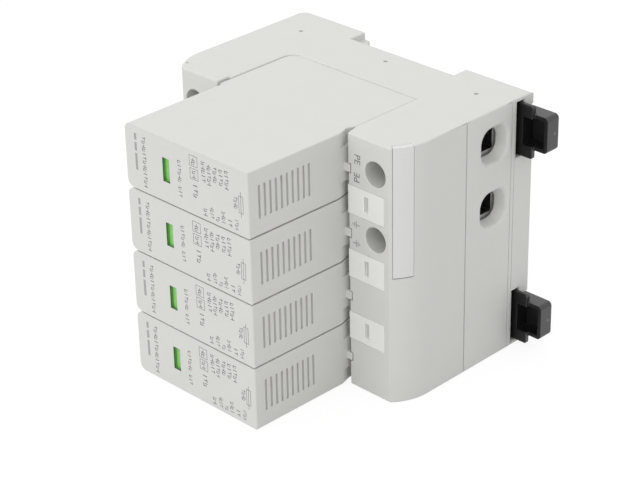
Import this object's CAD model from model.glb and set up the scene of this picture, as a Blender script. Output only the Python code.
# %% [markdown]
# # A plug-in surge arrester for a mounting rail
# The real object is a pale grey moulded base with four plug-in modules. It lies on its side, so the
# rail would run straight up, the module fronts look towards -Y and the earth terminals are at +X.
# The construction model gives every solid at its true place. This lesson gives each of them the
# look of the real thing: soft moulded edges, a fine grain, print, metal in the holes, studio light.

# %% Load the construction model
import math

import bmesh
import bpy
from mathutils import Matrix, Vector


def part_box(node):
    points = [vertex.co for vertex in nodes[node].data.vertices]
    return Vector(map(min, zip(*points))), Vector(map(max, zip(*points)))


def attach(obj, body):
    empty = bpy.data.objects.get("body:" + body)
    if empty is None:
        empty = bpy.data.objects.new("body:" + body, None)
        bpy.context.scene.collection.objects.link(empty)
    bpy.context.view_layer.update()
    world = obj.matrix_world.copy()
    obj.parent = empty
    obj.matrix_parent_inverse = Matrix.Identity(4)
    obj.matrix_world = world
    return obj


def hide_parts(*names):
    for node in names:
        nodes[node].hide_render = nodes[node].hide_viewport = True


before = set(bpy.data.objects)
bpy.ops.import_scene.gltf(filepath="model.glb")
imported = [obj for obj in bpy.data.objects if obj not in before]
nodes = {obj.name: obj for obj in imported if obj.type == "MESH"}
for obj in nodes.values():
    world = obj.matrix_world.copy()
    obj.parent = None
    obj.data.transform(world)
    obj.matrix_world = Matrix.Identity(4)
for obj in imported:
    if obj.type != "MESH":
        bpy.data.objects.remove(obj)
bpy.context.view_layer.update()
bpy.ops.object.select_all(action="DESELECT")
mm = 0.001
module_count = sum(1 for name in nodes if name.startswith("plug_cap_"))
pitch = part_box("plug_cap_2")[0].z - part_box("plug_cap_1")[0].z
print(len(nodes), "solids,", module_count, "modules,", round(pitch / mm, 2), "mm apart")

# %% [markdown]
# ## Camera
# The camera stands where the photographer's stood. Its place was worked out from the straight edges
# of the object, with the 18 mm module pitch as the scale. A long lens keeps the edges nearly
# parallel. The three turns are the same as for a tripod: pan, tilt, and a slight roll.

# %% Set up the camera
photo_width = 640
lens_pixels = 2069.7
camera_place = (0.34259, -0.37286, 0.28490)
pan_deg, tilt_deg, roll_deg = 45.054, 90 - 27.874, -1.177
camera_data = bpy.data.cameras.new("photo_camera")
camera_data.sensor_fit = "HORIZONTAL"
camera_data.sensor_width = 36
camera_data.lens = camera_data.sensor_width * lens_pixels / photo_width
camera_data.clip_start = 0.01
camera = bpy.data.objects.new("photo_camera", camera_data)
bpy.context.scene.collection.objects.link(camera)
pan = Matrix.Rotation(math.radians(pan_deg), 4, "Z")
tilt = Matrix.Rotation(math.radians(tilt_deg), 4, "X")
roll = Matrix.Rotation(math.radians(roll_deg), 4, "Z")
camera.matrix_world = Matrix.Translation(camera_place) @ pan @ tilt @ roll
bpy.context.scene.camera = camera
print("lens", round(camera_data.lens, 1), "mm")

# %% [markdown]
# ## Light
# In the photograph the top is brightest, the fronts a little darker and the end face darkest. No
# shadow has a hard edge, and it gets darker in the corners between the pieces. So most of the light
# is an even white sky, as in a light tent. One very wide sun in front of the plugs and a weaker one
# beyond the line end lift the faces that look that way. The sky is a little brighter still for the
# camera and for reflections, so the background stays white while the plastic keeps its own grey.

# %% Helper for what the camera sees
def seen_share(tree):
    """A value that is 1 for what the camera sees directly, in a reflection or through glass."""
    ray = tree.nodes.new("ShaderNodeLightPath")
    share = ray.outputs["Is Camera Ray"]
    for kind in ("Is Glossy Ray", "Is Transmission Ray"):
        total = tree.nodes.new("ShaderNodeMath")
        total.operation = "ADD"
        total.use_clamp = True
        tree.links.new(share, total.inputs[0])
        tree.links.new(ray.outputs[kind], total.inputs[1])
        share = total.outputs[0]
    return share


# %% White sky
sky_light = 0.92
white = (1, 1, 1, 1)
bpy.context.scene.view_settings.view_transform = "Standard"
world = bpy.data.worlds.new("white_sky")
world.use_nodes = True
bpy.context.scene.world = world
sky = world.node_tree
sky.nodes.clear()
lighting = sky.nodes.new("ShaderNodeBackground")
lighting.inputs["Strength"].default_value = sky_light
lighting.inputs["Color"].default_value = white
backdrop = sky.nodes.new("ShaderNodeBackground")
backdrop.inputs["Color"].default_value = white
choose = sky.nodes.new("ShaderNodeMixShader")
sky.links.new(seen_share(sky), choose.inputs[0])
sky.links.new(lighting.outputs[0], choose.inputs[1])
sky.links.new(backdrop.outputs[0], choose.inputs[2])
sky_out = sky.nodes.new("ShaderNodeOutputWorld")
sky.links.new(choose.outputs[0], sky_out.inputs[0])
print("sky", sky_light)

# %% Two wide suns
sun_width = math.radians(70)
for name, strength, toward in (
    ("front_sun", 0.82, Vector((0.0, -0.87, 0.50))),
    ("side_sun", 0.42, Vector((-0.85, 0.15, 0.50))),
):
    bpy.ops.object.light_add(type="SUN", location=toward)
    sun = bpy.context.object
    sun.name = name
    sun.data.energy = strength
    sun.data.angle = sun_width
    sun.rotation_euler = toward.to_track_quat("Z", "Y").to_euler()
    print(name, strength)

# %% [markdown]
# ## Floor
# A studio table is a white sweep. Here it is one big plate just under the part. To the camera it is
# part white card and part matt paint, so it stays white and still carries the faint shadow that
# makes the object stand on something.

# %% Lay the floor
table_size = 6
table_gap = 0.05
table_grey = (0.7, 0.7, 0.7, 1)
card_share, card_glow = 0.8, 1.1
bpy.ops.mesh.primitive_plane_add(size=table_size, location=(0, 0, -table_gap * mm))
floor = bpy.context.object
floor.name = "white_table"
card = bpy.data.materials.new("table_white")
card.use_nodes = True
table = card.node_tree
table.nodes.clear()
white_share = table.nodes.new("ShaderNodeMath")
white_share.operation = "MULTIPLY"
white_share.inputs[1].default_value = card_share
table.links.new(seen_share(table), white_share.inputs[0])
paint = table.nodes.new("ShaderNodeBsdfDiffuse")
paint.inputs["Color"].default_value = table_grey
glow = table.nodes.new("ShaderNodeEmission")
glow.inputs["Color"].default_value = white
glow.inputs["Strength"].default_value = card_glow
blend_card = table.nodes.new("ShaderNodeMixShader")
table.links.new(white_share.outputs[0], blend_card.inputs[0])
table.links.new(paint.outputs[0], blend_card.inputs[1])
table.links.new(glow.outputs[0], blend_card.inputs[2])
card_out = table.nodes.new("ShaderNodeOutputMaterial")
table.links.new(blend_card.outputs[0], card_out.inputs[0])
floor.data.materials.append(card)
bpy.ops.object.select_all(action="DESELECT")
print("table", table_size, "m wide,", table_gap, "mm under the part")

# %% [markdown]
# ## The grain that the finishes share
# Moulded plastic, plated steel and coated ceramic are never one flat colour. They all have a soft
# mottling a few millimetres wide, a surface that is duller in places, and a fine grain that can be
# felt. That is one node group with named inputs, and each finish sets it to its own scale.

# %% Start the grain group
grain = bpy.data.node_groups.new("surface_grain", "ShaderNodeTree")
for socket, kind, start in (
    ("Colour", "NodeSocketColor", (0.7, 0.7, 0.7, 1)),
    ("Mottle", "NodeSocketFloat", 0.05),
    ("Mottle Scale", "NodeSocketFloat", 140),
    ("Grain Scale", "NodeSocketFloat", 2600),
    ("Roughness", "NodeSocketFloat", 0.5),
    ("Roughness Spread", "NodeSocketFloat", 0.1),
):
    made = grain.interface.new_socket(name=socket, in_out="INPUT", socket_type=kind)
    made.default_value = start
for socket, kind in (
    ("Colour", "NodeSocketColor"),
    ("Roughness", "NodeSocketFloat"),
    ("Height", "NodeSocketFloat"),
):
    grain.interface.new_socket(name=socket, in_out="OUTPUT", socket_type=kind)
print("grain group with", len(grain.interface.items_tree), "sockets")

# %% Join up the grain group
taken = grain.nodes.new("NodeGroupInput")
given = grain.nodes.new("NodeGroupOutput")
place = grain.nodes.new("ShaderNodeTexCoord")
cloud = grain.nodes.new("ShaderNodeTexNoise")
cloud.inputs["Detail"].default_value = 3
grain.links.new(place.outputs["Object"], cloud.inputs["Vector"])
grain.links.new(taken.outputs["Mottle Scale"], cloud.inputs["Scale"])
sand = grain.nodes.new("ShaderNodeTexNoise")
sand.inputs["Detail"].default_value = 2
grain.links.new(place.outputs["Object"], sand.inputs["Vector"])
grain.links.new(taken.outputs["Grain Scale"], sand.inputs["Scale"])
centred = grain.nodes.new("ShaderNodeMath")
centred.operation = "SUBTRACT"
centred.inputs[1].default_value = 0.5
grain.links.new(cloud.outputs["Fac"], centred.inputs[0])
shift = grain.nodes.new("ShaderNodeMath")
shift.operation = "MULTIPLY_ADD"
shift.inputs[2].default_value = 1
grain.links.new(centred.outputs[0], shift.inputs[0])
grain.links.new(taken.outputs["Mottle"], shift.inputs[1])
toned = grain.nodes.new("ShaderNodeVectorMath")
toned.operation = "SCALE"
grain.links.new(taken.outputs["Colour"], toned.inputs[0])
grain.links.new(shift.outputs[0], toned.inputs["Scale"])
grain.links.new(toned.outputs[0], given.inputs["Colour"])
uneven = grain.nodes.new("ShaderNodeMath")
uneven.operation = "MULTIPLY_ADD"
grain.links.new(centred.outputs[0], uneven.inputs[0])
grain.links.new(taken.outputs["Roughness Spread"], uneven.inputs[1])
grain.links.new(taken.outputs["Roughness"], uneven.inputs[2])
grain.links.new(uneven.outputs[0], given.inputs["Roughness"])
grain.links.new(sand.outputs["Fac"], given.inputs["Height"])
print("grain group with", len(grain.nodes), "nodes")

# %% [markdown]
# ## Finishes
# Every finish is the grain group in front of one Principled shader. What is the same all over a
# surface, such as how metallic it is, sits on the shader itself. What changes over it, the colour,
# the dullness and the grain's height, comes from the group.

# %% Helpers for finishes
grain_height = 0.02


def shade(r, g, b):
    """A screen colour from 0 to 255 as the linear value that the shader takes."""
    values = []
    for v in (r, g, b):
        v = v / 255
        values.append(v / 12.92 if v <= 0.04045 else ((v + 0.055) / 1.055) ** 2.4)
    return (*values, 1)


def finish(name, colour, roughness, mottle=0.05, mottle_scale=140, grain_scale=2600,
           spread=0.1, bump=0.15, metallic=0.0, sheen=0.5):
    """A finish of one colour; scales are in waves per metre."""
    material = bpy.data.materials.new(name)
    material.use_nodes = True
    tree = material.node_tree
    shader = tree.nodes["Principled BSDF"]
    shader.inputs["Metallic"].default_value = metallic
    shader.inputs["Specular IOR Level"].default_value = sheen
    surface = tree.nodes.new("ShaderNodeGroup")
    surface.node_tree = grain
    surface.inputs["Colour"].default_value = colour
    surface.inputs["Mottle"].default_value = mottle
    surface.inputs["Mottle Scale"].default_value = mottle_scale
    surface.inputs["Grain Scale"].default_value = grain_scale
    surface.inputs["Roughness"].default_value = roughness
    surface.inputs["Roughness Spread"].default_value = spread
    relief = tree.nodes.new("ShaderNodeBump")
    relief.inputs["Strength"].default_value = bump
    relief.inputs["Distance"].default_value = grain_height * mm
    tree.links.new(surface.outputs["Height"], relief.inputs["Height"])
    tree.links.new(surface.outputs["Colour"], shader.inputs["Base Color"])
    tree.links.new(surface.outputs["Roughness"], shader.inputs["Roughness"])
    tree.links.new(relief.outputs["Normal"], shader.inputs["Normal"])
    return material


# %% Mix the plastics
housing_plastic = finish("housing_plastic", shade(208, 208, 205), 0.55)
reveal_plastic = finish("reveal_plastic", shade(84, 106, 76), 0.6)
reveal_glow = finish("reveal_glow", shade(122, 172, 104), 0.5)
insert_plastic = finish("insert_plastic", shade(231, 231, 228), 0.42, bump=0.05)
slit_plastic = finish("slit_plastic", shade(196, 196, 193), 0.5)
strip_plastic = finish("strip_plastic", shade(215, 215, 213), 0.34, mottle=0.02, bump=0.03)
clip_plastic = finish(
    "clip_plastic", shade(18, 18, 19), 0.38, 0.3, grain_scale=3600, bump=0.35, sheen=0.95)
clip_matt = finish(
    "clip_matt", shade(18, 18, 19), 0.55, 0.3, grain_scale=3600, bump=0.35, sheen=0.3)
mark_plastic = finish("mark_plastic", shade(112, 112, 113), 0.5)
flag_plastic = finish("flag_plastic", shade(138, 216, 112), 0.4, mottle=0.08)
guide_plastic = finish("guide_plastic", shade(186, 36, 32), 0.45, mottle=0.1)
print(len(bpy.data.materials), "materials with the plastics")

# %% Mix the metals, the coat and the inks
cage_steel = finish("cage_steel", shade(112, 112, 115), 0.45, 0.25, 900, 5200, 0.25, 0.25, 1.0)
cage_rim = finish("cage_rim", shade(205, 205, 203), 0.5, 0.12, 900)
zinc = finish("zinc_plate", shade(196, 196, 198), 0.34, 0.25, 900, 5200, 0.25, 0.25, 1.0)
copper = finish("bare_copper", shade(214, 150, 112), 0.3, 0.3, 500, 4200, 0.2, 0.2, 1.0)
spring_metal = finish("spring_metal", shade(176, 177, 181), 0.26, 0.15, 700, 5200, 0.1, 0.1, 1.0)
blue_coat = finish("blue_coat", shade(52, 84, 138), 0.4, 0.18, 260, 1500, 0.15, 0.4)
ink = finish("grey_ink", shade(112, 112, 114), 0.6, mottle=0.25, mottle_scale=2500)
pale_ink = finish("pale_ink", shade(158, 158, 160), 0.6, mottle=0.25, mottle_scale=2500)
print(len(bpy.data.materials), "materials in all")

# %% [markdown]
# ## Taking a cast
# A solid from the construction model is loose triangles with knife-sharp edges. A cast of it is a
# copy whose points are merged and whose flat faces are made whole again, ready to be worked on. A
# face with a hole in it stays awkward: a stray edge ties the hole to the rim, and a bevel tears
# there. So such a face is first scored straight through the middle of its holes, and the score
# lines are kept as seams while everything else that is flat is merged.

# %% Helpers for casts
merge_gap = 0.004
flat_angle = math.radians(0.6)


def hold(piece):
    """Select one piece alone and make it the active one."""
    bpy.ops.object.select_all(action="DESELECT")
    piece.select_set(True)
    bpy.context.view_layer.objects.active = piece


def pick(piece, wanted):
    """Go into edit mode with only the wanted faces selected, by a test of centre and normal."""
    bpy.ops.object.mode_set(mode="EDIT")
    bpy.ops.mesh.select_mode(type="FACE")
    bpy.ops.mesh.select_all(action="DESELECT")
    bpy.ops.object.mode_set(mode="OBJECT")
    for face in piece.data.polygons:
        face.select = wanted(face.center / mm, face.normal)
    bpy.ops.object.mode_set(mode="EDIT")


def score(piece, axis, place, wanted):
    """Cut the wanted faces along a plane across an axis, and keep the cut as a seam."""
    pick(piece, wanted)
    normal = [float(axis == letter) for letter in "xyz"]
    bpy.ops.mesh.bisect(plane_co=[place * mm * n for n in normal], plane_no=normal)
    bpy.ops.mesh.mark_seam()


def cast_of(node, name, scores=(), moved=None):
    """A clean copy of a solid; each score is an axis, a place in mm and a test of faces.

    Where moved is given, it tells each point its new place in mm first.
    """
    piece = bpy.data.objects.new(name, nodes[node].data.copy())
    piece.data.name = name
    piece.data.materials.clear()
    if moved:
        for point in piece.data.vertices:
            point.co = moved(point.co / mm) * mm
    bpy.context.scene.collection.objects.link(piece)
    hold(piece)
    bpy.ops.mesh.customdata_custom_splitnormals_clear()
    bpy.ops.object.mode_set(mode="EDIT")
    bpy.ops.mesh.select_mode(type="FACE")
    bpy.ops.mesh.select_all(action="SELECT")
    bpy.ops.mesh.remove_doubles(threshold=merge_gap * mm)
    for axis, place, wanted in scores:
        score(piece, axis, place, wanted)
    bpy.ops.mesh.select_all(action="SELECT")
    bpy.ops.mesh.dissolve_limited(angle_limit=flat_angle, delimit={"SEAM"})
    bpy.ops.mesh.select_all(action="SELECT")
    bpy.ops.mesh.mark_seam(clear=True)
    bpy.ops.object.mode_set(mode="OBJECT")
    return piece


# %% [markdown]
# ## Soft edges
# A mould leaves no sharp edge: each one is a small round that catches the light. One width for all
# would tear the mesh where two edges are close together, as in a narrow groove. So each edge is
# measured first: how far is it, across either of its faces, to the next edge? It gets the radius
# that its place asks for, or less where there is less room, as a bevel weight. Edges that run on
# into each other without a corner share one radius, or the bevel would throw up a spike there.

# %% Measure the room beside an edge
corner_reach = 0.19
hardly = 0.002


def room_beside(edge):
    """Free width beside an edge, across the narrower of its two faces."""
    room = 1.0
    for loop in edge.link_loops:
        start, end = loop.vert.co, loop.link_loop_next.vert.co
        along = end - start
        length = along.length
        along = along / length
        inward = loop.face.normal.cross(along)
        for other in loop.face.loops:
            if other == loop:
                continue
            p, q = other.vert.co - start, other.link_loop_next.vert.co - start
            p_along, q_along = p.dot(along), q.dot(along)
            p_deep, q_deep = p.dot(inward), q.dot(inward)
            past = max(-p_along, p_along - length, 0)
            if past < corner_reach * mm and p_deep > max(past, hardly * mm):
                room = min(room, p_deep)
            facing = q_along < p_along and min(p_deep, q_deep) > hardly * mm
            if facing and q_along < length and p_along > 0:
                for stop in (0, length):
                    share = max(0, min(1, (stop - p_along) / (q_along - p_along)))
                    room = min(room, p_deep + share * (q_deep - p_deep))
    return room


# %% Let edges that run on share a radius
run_on = math.radians(140)


def even_out(shape, radii):
    """Give edges that run on into each other the smallest radius among them."""
    settled = False
    while not settled:
        settled = True
        for vert in shape.verts:
            ways = [(edge.index, edge.other_vert(vert).co - vert.co) for edge in vert.link_edges
                    if radii[edge.index] is not None]
            for a, way_a in ways:
                for b, way_b in ways:
                    if radii[a] > radii[b] and way_a.angle(way_b, 0) > run_on:
                        radii[a] = radii[b]
                        settled = False


# %% Round the edges and smooth the shading
room_share = 0.4
least_radius = 0.02
sliver = 0.001


def soften(piece, radius_at, sharp=32, steps=3):
    """Round a cast's sharp edges, each by radius_at(its middle), or by what room there is."""
    mesh = piece.data
    shape = bmesh.new()
    shape.from_mesh(mesh)
    radii = [None] * len(shape.edges)
    for edge in shape.edges:
        if len(edge.link_faces) != 2 or edge.calc_face_angle(0) < math.radians(sharp):
            continue
        middle = (edge.verts[0].co + edge.verts[1].co) / 2
        wanted = radius_at(middle / mm) * mm
        if wanted > 0:
            radii[edge.index] = min(wanted, room_share * room_beside(edge))
    even_out(shape, radii)
    shape.free()
    radii = [r if r and r > least_radius * mm else 0.0 for r in radii]
    widest = max(radii)
    weights = mesh.attributes.new("bevel_weight_edge", "FLOAT", "EDGE")
    weights.data.foreach_set("value", [r / widest for r in radii])
    hold(piece)
    rounding = piece.modifiers.new("rounding", "BEVEL")
    rounding.limit_method = "WEIGHT"
    rounding.width = widest
    rounding.segments = steps
    rounding.use_clamp_overlap = False
    bpy.ops.object.modifier_apply(modifier=rounding.name)
    bpy.ops.object.mode_set(mode="EDIT")
    bpy.ops.mesh.select_all(action="SELECT")
    bpy.ops.mesh.remove_doubles(threshold=hardly * mm)
    bpy.ops.mesh.dissolve_degenerate(threshold=sliver * mm)
    bpy.ops.object.mode_set(mode="OBJECT")
    smooth(piece)
    print(piece.name, sum(1 for r in radii if r > 0), "edges rounded,", len(mesh.polygons), "faces")


def smooth(piece, angle=34):
    """Smooth shading that keeps flat faces flat."""
    hold(piece)
    bpy.ops.object.shade_smooth_by_angle(angle=math.radians(angle))
    even = piece.modifiers.new("even_normals", "WEIGHTED_NORMAL")
    even.keep_sharp = True
    bpy.ops.object.modifier_apply(modifier=even.name)


# %% Helpers to place and copy pieces
def draw_back(piece, axis, edge, by):
    """Move the points on a piece's outermost face along an axis, all by the same distance."""
    for point in piece.data.vertices:
        if abs(point.co[axis] / mm - edge) < sliver:
            point.co[axis] += by * mm
    smooth(piece)


def fit_to(piece, node, body, material):
    """Give a piece its finish, body and slot; where a node is named, it stands for that solid."""
    piece.data.materials.clear()
    piece.data.materials.append(material)
    if node:
        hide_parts(node)
    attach(piece, body)


def copy_by(piece, name, move):
    """A copy with its own mesh, moved by a distance."""
    twin = bpy.data.objects.new(name, piece.data.copy())
    twin.data.name = name
    twin.data.transform(Matrix.Translation(move))
    bpy.context.scene.collection.objects.link(twin)
    return twin


# %% [markdown]
# ## Base housing
# The base is one moulding. Its outside edges are rounded by about half a millimetre, the funnels
# of the wire entries more, the seats of the small plates hardly at all. What is deep inside stays
# as it is: nobody sees it, and every rounded edge costs faces. The end faces have fine grooves that
# run over their edges, and no round can be wider than a groove is deep. So the grooves are filled
# in the cast, the edges are rounded, and a Boolean modifier cuts the grooves again.

# %% Measure the base
# Lengths are in mm. The two shares are how much of a face's normal lies along an axis.
near, touch = 0.1, 0.01
square_on, aslant = 0.9, 0.5
base_low, base_high = (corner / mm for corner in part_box("base_housing"))
screw_low, screw_high = (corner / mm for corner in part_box("earth_screw_1"))
screw_x = (screw_low.x + screw_high.x) / 2
entry_y, funnel_half = -9.0, 5.6
pin_y, pin_half, pin_inset = -5.2, 0.8, 1.0
edge_pin_x, edge_pin_y, edge_pin_half = -38.1, -40.9, 0.6
bay_x, shoulder_x, strip_x = 20, 24, 36
seat_x, seat_half = 23, 4.3
rim_y, strip_y, middle_y = -38, -34, -10
clip_low, clip_high = (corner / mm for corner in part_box("rail_clip_1"))
clip_mid_z = (clip_low.z + clip_high.z) / 2
clip_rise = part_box("rail_clip_2")[0].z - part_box("rail_clip_1")[0].z
channel_half = 5.3
channel_edges = [
    clip_mid_z + rise / mm + side * channel_half for rise in (0, clip_rise) for side in (-1, 1)
]
print("base", [round(v, 1) for v in base_high - base_low], "mm")
print("clip channels between z", [round(z, 1) for z in channel_edges], "mm")

# %% Choose a radius for each edge of the base
back_round, channel_round, funnel_round = 1.4, 1.0, 0.8
shoulder_round, edge_round, front_round = 0.55, 0.4, 0.28
inner_round, fine_round, strip_seat_round = 0.2, 0.1, 0.05


def base_radius(p):
    """The radius in mm that an edge with its middle at p asks for."""
    on_side = p.z < near or p.z > base_high.z - near
    on_end = abs(p.x) > base_high.x - near
    on_front = p.y < base_low.y + near
    on_back = p.y > base_high.y - near
    by_clips = on_back and p.x > bay_x
    if on_end and abs(p.y - entry_y) < funnel_half and not on_side:
        return funnel_round
    if on_side:
        by_pin = abs(p.y - pin_y) < pin_half and abs(p.x) < base_high.x - pin_inset
        by_edge_pin = max(abs(p.y - edge_pin_y), abs(p.x - edge_pin_x)) < edge_pin_half
        if by_pin or by_edge_pin:
            return fine_round
        if by_clips:
            return back_round
        if abs(p.x) > shoulder_x:
            return shoulder_round
        return fine_round if p.x > bay_x and p.y < middle_y else edge_round
    if by_clips:
        in_line = any(abs(p.z - z) < near / 2 for z in channel_edges)
        return channel_round if in_line else inner_round
    if on_end or on_back:
        return edge_round
    if on_front:
        modules_up = p.z * mm / pitch
        beside_joint = abs(modules_up - round(modules_up)) * pitch / mm
        on_seat = seat_x < p.x < strip_x and beside_joint < seat_half
        return fine_round if on_seat else front_round
    if p.x > strip_x and p.y < strip_y:
        return strip_seat_round
    return inner_round if p.y < rim_y or p.y > -near else 0.0


# %% Helpers for the grooves
# Each groove is given by its lower edge in y, its width, its depth and the ends that have it.
past_sides = 0.5
end_grooves = (
    (-20.2, 0.5, 0.3, (-1, 1)),
    (-2.725, 0.25, 0.15, (1,)),
    (-1.475, 0.25, 0.15, (1,)),
)


def groove_filled(p):
    """A point on the floor of a groove goes out to the end face, and all others stay."""
    for low, width, depth, _ in end_grooves:
        on_floor = abs(abs(p.x) - base_high.x + depth) < touch
        if on_floor and low - touch < p.y < low + width + touch:
            return Vector((math.copysign(base_high.x, p.x), p.y, p.z))
    return p


def cut_grooves(piece):
    """Cut the grooves of the end faces with long thin blocks."""
    cutter = bpy.data.objects.new("groove_cutter", bpy.data.meshes.new("groove_cutter"))
    bpy.context.scene.collection.objects.link(cutter)
    hold(cutter)
    bpy.ops.object.mode_set(mode="EDIT")
    for low, width, depth, ends in end_grooves:
        for end in ends:
            middle = Vector((end * base_high.x, low + width / 2, base_high.z / 2)) * mm
            bpy.ops.mesh.primitive_cube_add(size=mm, location=middle)
            size = (2 * depth, width, base_high.z + 2 * past_sides)
            bpy.ops.transform.resize(value=size, center_override=middle)
    bpy.ops.object.mode_set(mode="OBJECT")
    hold(piece)
    cut = piece.modifiers.new("grooves", "BOOLEAN")
    cut.operation = "DIFFERENCE"
    cut.solver = "EXACT"
    cut.object = cutter
    bpy.ops.object.modifier_apply(modifier=cut.name)
    bpy.data.objects.remove(cutter)
    smooth(piece)


# %% Dress the base
def on_end_face(at, way):
    """Whether a face lies in one of the two end faces."""
    return abs(at.x) > base_high.x - near and abs(way.x) > square_on


def on_upper_side(at, way):
    """Whether a face lies in the side that is on top."""
    return at.z > base_high.z - near and way.z > square_on


def on_front_face(at, way):
    """Whether a face lies in the front of a shoulder."""
    return at.y < base_low.y + near and way.y < -square_on


base_scores = [
    ("y", entry_y, on_end_face),
    ("y", pin_y, on_upper_side),
    ("y", edge_pin_y, lambda at, way: on_upper_side(at, way) and at.x < 0),
    ("x", screw_x, on_front_face),
    ("x", -screw_x, on_front_face),
]
base_shell = cast_of("base_housing", "base_shell", base_scores, groove_filled)
soften(base_shell, base_radius)
cut_grooves(base_shell)
print(len(base_shell.data.polygons), "faces with the grooves")
fit_to(base_shell, "base_housing", "base", housing_plastic)

# %% [markdown]
# ## Plug covers
# All four covers come out of the same mould, so one is worked on and the others are copies, one
# pitch further along. The front's outline is softly rounded, while the rim of the status window and
# the grip grooves stay crisp. The front is drawn back by the little that the print will stand proud
# of it. The thin sides of the window take finishes of their own: dark at the front, because they
# are a shadow gap, and green further in, where the flag shines on them.

# %% Measure the plug covers
film_proud = 0.008
plug_low, plug_high = (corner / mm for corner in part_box("plug_cap_1"))
plug_mid_z = (plug_low.z + plug_high.z) / 2
plug_foot_y = -17.9
line_end_x, earth_end_x, end_wall_x = plug_low.x + 0.8, 20.4, 21
tucked_x, tucked_y = -18, base_low.y - 0.3
window_mid_x, window_rim = -7.85, 0.3
window_half_x, window_half_z = 1.25, 3.25
flag_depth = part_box("status_flag_1")[0].y / mm - plug_low.y
reveal_edge = plug_low.y + flag_depth / 2
print("the flag is", round(flag_depth, 2), "mm behind the front")

# %% Choose a radius for each edge of a cover
outline_round, side_round = 0.38, 0.28
end_round, tucked_round, crisp_round = 0.14, 0.12, 0.1


def by_window(p, margin):
    """Whether a point lies in the window or within a margin round it."""
    return abs(p.x - window_mid_x) < window_half_x + margin and (
        abs(p.z - plug_mid_z) < window_half_z + margin)


def plug_radius(p):
    """The radius in mm that an edge with its middle at p asks for."""
    if p.y > plug_foot_y:
        return crisp_round
    on_end = p.x > earth_end_x or p.x < line_end_x
    on_side = p.z < plug_low.z + near or p.z > plug_high.z - near
    if p.y < plug_low.y + near:
        return crisp_round if by_window(p, window_rim) else outline_round
    if p.x < tucked_x and p.y > tucked_y:
        return tucked_round if on_side else 0.0
    if on_side:
        return side_round
    return end_round if on_end else 0.0


# %% Dress the plug covers
plug_scores = [
    ("x", window_mid_x, lambda at, way: at.y < plug_low.y + near and way.y < -square_on),
    ("z", plug_mid_z, lambda at, way: abs(at.x) > end_wall_x and abs(way.x) > square_on),
    ("y", reveal_edge, lambda at, way: by_window(at, near / 2) and abs(way.y) < aslant),
]
plug_shell = cast_of("plug_cap_1", "plug_shell_1", plug_scores)
soften(plug_shell, plug_radius)
draw_back(plug_shell, 1, plug_low.y, film_proud)
reveal = [
    face.index for face in plug_shell.data.polygons
    if face.center.y / mm < plug_low.y + flag_depth and abs(face.normal.y) < aslant
    and by_window(face.center / mm, near / 2)
]
plug_shells = [plug_shell]
for i in range(1, module_count):
    plug_shells.append(copy_by(plug_shell, f"plug_shell_{i + 1}", (0, 0, i * pitch)))
for i, shell in enumerate(plug_shells, 1):
    fit_to(shell, f"plug_cap_{i}", f"plug_{i}", housing_plastic)
    shell.data.materials.append(reveal_plastic)
    shell.data.materials.append(reveal_glow)
    for index in reveal:
        face = shell.data.polygons[index]
        face.material_index = 1 if face.center.y / mm < reveal_edge else 2
print(len(plug_shells), "covers,", len(reveal), "faces in the sides of a window")

# %% [markdown]
# ## Inserts and strip
# Three white plates with a slit sit over the joints between modules, and a pale strip for marking
# lies on the rounded edge over the earth terminals. Both are thin, so their edges are only just
# broken. The strip is pressed into its recess, so its two long sides are moved out until hardly any
# gap is left.

# %% Dress the inserts
insert_round = 0.16
slit_depth = 0.5
insert = cast_of("shoulder_insert_1", "insert_plate_1")
soften(insert, lambda p: insert_round)
plate_low, plate_high = (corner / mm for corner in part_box("shoulder_insert_1"))
slit_floor = [
    face.index for face in insert.data.polygons
    if plate_low.y + slit_depth < face.center.y / mm < plate_high.y - near
    and face.normal.y < -square_on
]
inserts = [insert]
for i in (1, 2):
    inserts.append(copy_by(insert, f"insert_plate_{i + 1}", (0, 0, i * pitch)))
for i, plate in enumerate(inserts, 1):
    fit_to(plate, f"shoulder_insert_{i}", "base", insert_plastic)
    plate.data.materials.append(slit_plastic)
    for index in slit_floor:
        plate.data.polygons[index].material_index = 1
print(len(slit_floor), "faces in the floor of a slit")

# %% Dress the strip
strip_play, strip_round = 0.16, 0.08
long_side = 0.8
strip = cast_of("marking_strip", "strip_cover")
strip_low, strip_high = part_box("marking_strip")
across = Vector((strip_high.x - strip_low.x, strip_high.y - strip_low.y, 0)).normalized()
for way in (across, -across):
    pick(strip, lambda at, normal: normal.dot(way) > long_side)
    bpy.ops.transform.translate(value=way * strip_play * mm)
    bpy.ops.object.mode_set(mode="OBJECT")
soften(strip, lambda p: strip_round)
fit_to(strip, "marking_strip", "base", strip_plastic)

# %% [markdown]
# ## Rail clips
# The two black clips are the same moulding. They slide in channels at the back of the base, and
# only their ears and tabs show. The mould is polished where a clip slides and where it is gripped.
# The faces that look to the front are left matt, so they reflect less and look darker.

# %% Choose a radius for each edge of a clip
pocket_half, pocket_start, pocket_wall, pocket_lip = 4.2, 8, 0.9, 0.5
ear_y, ear_half = 2.5, 7
ear_round, clip_round, pocket_round = 0.6, 0.38, 0.14


def clip_radius(p):
    """The radius in mm that an edge with its middle at p asks for."""
    off_middle = abs(p.z - clip_mid_z)
    past_start = clip_low.x + pocket_start < p.x < clip_high.x - pocket_wall
    if off_middle < pocket_half and past_start and p.y < clip_high.y - pocket_lip:
        return pocket_round
    return ear_round if p.y < ear_y and off_middle > ear_half else clip_round


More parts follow.
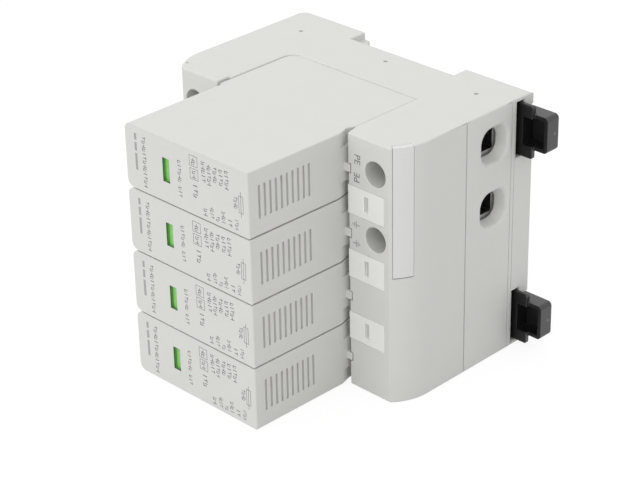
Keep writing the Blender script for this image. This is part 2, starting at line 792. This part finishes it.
# %% Dress the clips
front_looking = 0.7
clip = cast_of("rail_clip_1", "clip_body_1")
soften(clip, clip_radius)
draw_back(clip, 0, clip_high.x, -film_proud)
matt_faces = [face.index for face in clip.data.polygons if face.normal.y < -front_looking]
clips = [clip, copy_by(clip, "clip_body_2", (0, 0, clip_rise))]
for i, body in enumerate(clips, 1):
    fit_to(body, f"rail_clip_{i}", f"clip_{i}", clip_plastic)
    body.data.materials.append(clip_matt)
    for index in matt_faces:
        body.data.polygons[index].material_index = 1
print(len(matt_faces), "matt faces on a clip")

# %% [markdown]
# ## Print on the plug fronts
# The fronts carry small grey print that runs up the plug: long rows, two small boxes, short groups in
# two columns, and the sign of a fuse. At this size print is a texture of fine strokes. It is drawn
# as that, with five plain marks in turn, so that it looks like print and says nothing. Three plain
# bars at the line end are in a paler ink. Each stroke is a little plate, and a Solidify modifier
# makes them all a film of ink.

# %% Helpers for print
film = 0.03
mark_step = 3
film_sunk = film / 2 - film_proud
print_marks = (
    ((0.0, 0.2, 0.0, 1.0), (0.2, 0.72, 0.40, 0.58)),
    ((0.0, 0.74, 0.0, 0.18), (0.27, 0.47, 0.18, 0.8)),
    ((0.54, 0.74, 0.0, 1.0), (0.0, 0.54, 0.82, 1.0), (0.0, 0.2, 0.3, 0.62)),
    ((0.0, 0.2, 0.25, 1.0), (0.2, 0.74, 0.82, 1.0), (0.54, 0.74, 0.0, 0.6)),
    ((0.25, 0.47, 0.0, 1.0),),
)


def row_of_print(x0, x1, z0, z1, count, first=0):
    """Strokes of a row that reads upwards, its letter tops at x0, with count marks from z0 to z1."""
    cell = (z1 - z0) / count
    strokes = []
    for n in range(count):
        for u0, u1, v0, v1 in print_marks[(first + mark_step * n) % len(print_marks)]:
            tall = x1 - x0
            z = z0 + n * cell
            strokes.append((x1 - v1 * tall, x1 - v0 * tall, z + u0 * cell, z + u1 * cell))
    return strokes


def box_of_print(x0, x1, z0, z1, line=0.14):
    """Strokes of an outlined box."""
    return [
        (x0, x1, z0, z0 + line), (x0, x1, z1 - line, z1),
        (x0, x0 + line, z0 + line, z1 - line), (x1 - line, x1, z0 + line, z1 - line),
    ]


def lay_film(name, strokes, face_y):
    """Strokes (x0, x1, z0, z1 in mm) as a thin film on a face that looks towards -Y."""
    sheet = bpy.data.objects.new(name, bpy.data.meshes.new(name))
    bpy.context.scene.collection.objects.link(sheet)
    hold(sheet)
    bpy.ops.object.mode_set(mode="EDIT")
    for x0, x1, z0, z1 in strokes:
        middle = ((x0 + x1) / 2 * mm, (face_y + film_sunk) * mm, (z0 + z1) / 2 * mm)
        bpy.ops.mesh.primitive_plane_add(size=mm, location=middle, rotation=(math.pi / 2, 0, 0))
        bpy.ops.transform.resize(value=(x1 - x0, 1, z1 - z0), center_override=middle)
    bpy.ops.object.mode_set(mode="OBJECT")
    thicken(sheet)
    return sheet


def thicken(sheet):
    """Turn a flat sheet into a film that stands just proud of its face."""
    hold(sheet)
    body = sheet.modifiers.new("film", "SOLIDIFY")
    body.thickness = film * mm
    body.offset = 0
    bpy.ops.object.modifier_apply(modifier=body.name)


# %% Lay out the print
# Each row is given by x of its letter tops and feet, z from and to, its number of marks and the first.
fuse_wire = (18.71, 18.85, 5.1, 12.0)
bars = [(-19.3, -18.5, 5.6, 10.2), (-19.3, -18.5, 10.9, 13.2), (-19.3, -18.5, 13.9, 15.7)]
strokes = []
for row in (
    (-16.5, -15.2, 1.7, 15.9, 13, 0), (-3.5, -2.3, 3.4, 6.4, 3, 1), (-3.5, -2.3, 7.4, 13.6, 6, 2),
    (1.95, 3.45, 5.1, 9.1, 3, 3), (1.8, 3.1, 10.3, 12.5, 2, 0), (1.7, 3.0, 13.8, 16.0, 2, 2),
    (5.2, 6.5, 10.4, 16.1, 5, 1), (7.2, 8.5, 10.1, 15.9, 6, 0), (9.3, 10.6, 11.5, 16.0, 4, 2),
    (11.4, 12.7, 11.4, 15.9, 4, 3), (13.4, 14.7, 11.1, 16.2, 5, 0), (5.4, 6.7, 1.3, 3.5, 2, 0),
    (7.7, 9.0, 1.4, 4.6, 4, 1), (9.8, 11.0, 1.3, 2.8, 2, 3), (11.8, 13.1, 1.4, 4.8, 4, 4),
    (14.1, 15.4, 1.4, 3.7, 2, 1), (16.3, 17.6, 7.0, 10.4, 4, 2), (16.5, 17.7, 1.4, 4.3, 4, 0),
):
    strokes += row_of_print(*row)
for box in ((1.0, 3.95, 9.85, 12.85), (0.9, 3.85, 13.4, 16.3), (18.0, 19.6, 6.3, 10.9)):
    strokes += box_of_print(*box)
strokes.append(fuse_wire)
print(len(strokes), "strokes and", len(bars), "bars")

# %% Print the plug fronts
for name, shapes, colour in (("front_print", strokes, ink), ("front_bars", bars, pale_ink)):
    films = [lay_film(f"{name}_1", shapes, plug_low.y + film_proud)]
    for i in range(1, module_count):
        films.append(copy_by(films[0], f"{name}_{i + 1}", (0, 0, i * pitch)))
    for i, sheet in enumerate(films, 1):
        fit_to(sheet, None, f"plug_{i}", colour)
    print(name, "on", len(films), "fronts,", len(films[0].data.polygons), "faces each")

# %% [markdown]
# ## Marks on the earth shoulder
# Beside the upper earth terminal stand the two letters that every protective earth terminal has,
# once for each way of mounting, and beside the lower one the earth sign, also twice. The letters
# are a text object made a mesh. The sign is a stem with three bars, in a paler ink, as it looks in
# the photograph.

# %% Helpers for the shoulder marks
letter_size = 2.8
sign_x, sign_z = 25.9, (42.2, 47.5)
letters_x, letters_z = 26.35, (60.65, 65.65)
sign_stem, bar_halves, bar_step = 1.25, (0.95, 0.6, 0.3), 0.55


def earth_sign(way, z, line=0.3):
    """A stem and three bars, the widest at sign_x; way is 1 where the bars end towards +X."""
    foot = sign_x - way * sign_stem
    signs = [(min(sign_x, foot), max(sign_x, foot), z - line / 2, z + line / 2)]
    for n, half in enumerate(bar_halves):
        x = sign_x + way * bar_step * n
        signs.append((x - line / 2, x + line / 2, z - half, z + half))
    return signs


def earth_letters(name, z, way):
    """The two letters with their middle at letters_x and z; way is 1 where they read upwards."""
    bpy.ops.object.text_add(location=(0, 0, 0))
    words = bpy.context.object
    words.name = name
    words.data.body = "PE"
    words.data.align_x = "CENTER"
    words.data.align_y = "CENTER"
    words.data.size = letter_size * mm
    bpy.ops.object.convert(target="MESH")
    up = Matrix(((0, -way, 0), (0, 0, -1), (way, 0, 0))).to_4x4()
    place = Matrix.Translation((letters_x * mm, (base_low.y + film_sunk) * mm, z * mm))
    words.data.transform(place @ up)
    words.data.name = name
    thicken(words)
    return words


# %% Print the shoulder marks
signs = lay_film("earth_signs", earth_sign(-1, sign_z[1]) + earth_sign(1, sign_z[0]), base_low.y)
upright = earth_letters("earth_letters_1", letters_z[0], 1)
inverted = earth_letters("earth_letters_2", letters_z[1], -1)
for mark, colour in ((signs, pale_ink), (upright, ink), (inverted, ink)):
    fit_to(mark, None, "base", colour)
    print(mark.name, len(mark.data.polygons), "faces")

# %% [markdown]
# ## Moulder's marks on the clips
# Each pull tab has one small paler triangle in the middle of its end. It is a three-sided circle,
# turned to face outwards and made a film like the print.

# %% Mark the clips
mark_radius, mark_y = 0.6, 4.3
outwards = Matrix(((0, 0, 1), (1, 0, 0), (0, 1, 0))).to_4x4()
for i in (1, 2):
    tab_low, tab_high = (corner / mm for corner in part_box(f"rail_clip_{i}"))
    bpy.ops.mesh.primitive_circle_add(vertices=3, radius=mark_radius * mm, fill_type="NGON")
    mark = bpy.context.object
    mark.name = mark.data.name = f"clip_mark_{i}"
    tab_mid_z = (tab_low.z + tab_high.z) / 2
    spot = Vector((tab_high.x - film_proud - film_sunk, mark_y, tab_mid_z)) * mm
    mark.data.transform(Matrix.Translation(spot) @ outwards)
    thicken(mark)
    fit_to(mark, None, f"clip_{i}", mark_plastic)
    print(mark.name, "at z", round(tab_mid_z, 2), "mm")

# %% [markdown]
# ## Clamp screws and cages
# Down in the access holes and wire entries there is plated steel. Each kind is worked on once and
# copied along the row, so the light catches a rounded rim instead of a paper edge. A cage is dark
# inside, and its end, which looks out of the wire entry, is bare and pale.

# %% Dress the terminals
earth_count = 2
screw_round, cage_round = 0.18, 0.25


def terminal_row(kind, part, count, radius, metal):
    """Round one piece of a kind and copy it along the row; return the pieces."""
    first = f"{kind}_{part}_1"
    piece = cast_of(first, f"{kind}_{part}_metal_1")
    soften(piece, lambda p: radius)
    row = [piece]
    for i in range(1, count):
        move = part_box(f"{kind}_{part}_{i + 1}")[0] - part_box(first)[0]
        row.append(copy_by(piece, f"{kind}_{part}_metal_{i + 1}", move))
    for i, piece in enumerate(row, 1):
        fit_to(piece, f"{kind}_{part}_{i}", f"{kind}_{part}_{i}", metal)
    return row


for kind, count in (("line", module_count), ("earth", earth_count)):
    terminal_row(kind, "screw", count, screw_round, zinc)
    for cage in terminal_row(kind, "cage", count, cage_round, cage_steel):
        end_x = max(abs(point.co.x) for point in cage.data.vertices)
        cage.data.materials.append(cage_rim)
        for face in cage.data.polygons:
            if abs(face.center.x) > end_x - near * mm and abs(face.normal.x) > aslant:
                face.material_index = 1
    print(count, kind, "terminals")

# %% [markdown]
# ## What is inside
# The contacts, varistors, flags, guides and springs are plain pressed or moulded parts, and their
# solids already have the right shape. They keep it and get a real finish.

# %% Finish the inner parts
inner = {
    "earth_busbar": copper, "line_contact": copper, "line_blade": copper, "earth_blade": copper,
    "varistor": blue_coat, "status_flag": flag_plastic, "flag_guide": guide_plastic,
    "trip_spring": spring_metal, "plug_foot": housing_plastic,
}
finished = 0
for name, solid in nodes.items():
    for start, material in inner.items():
        if name.startswith(start):
            solid.data.materials.clear()
            solid.data.materials.append(material)
            finished += 1
print(finished, "inner parts finished")
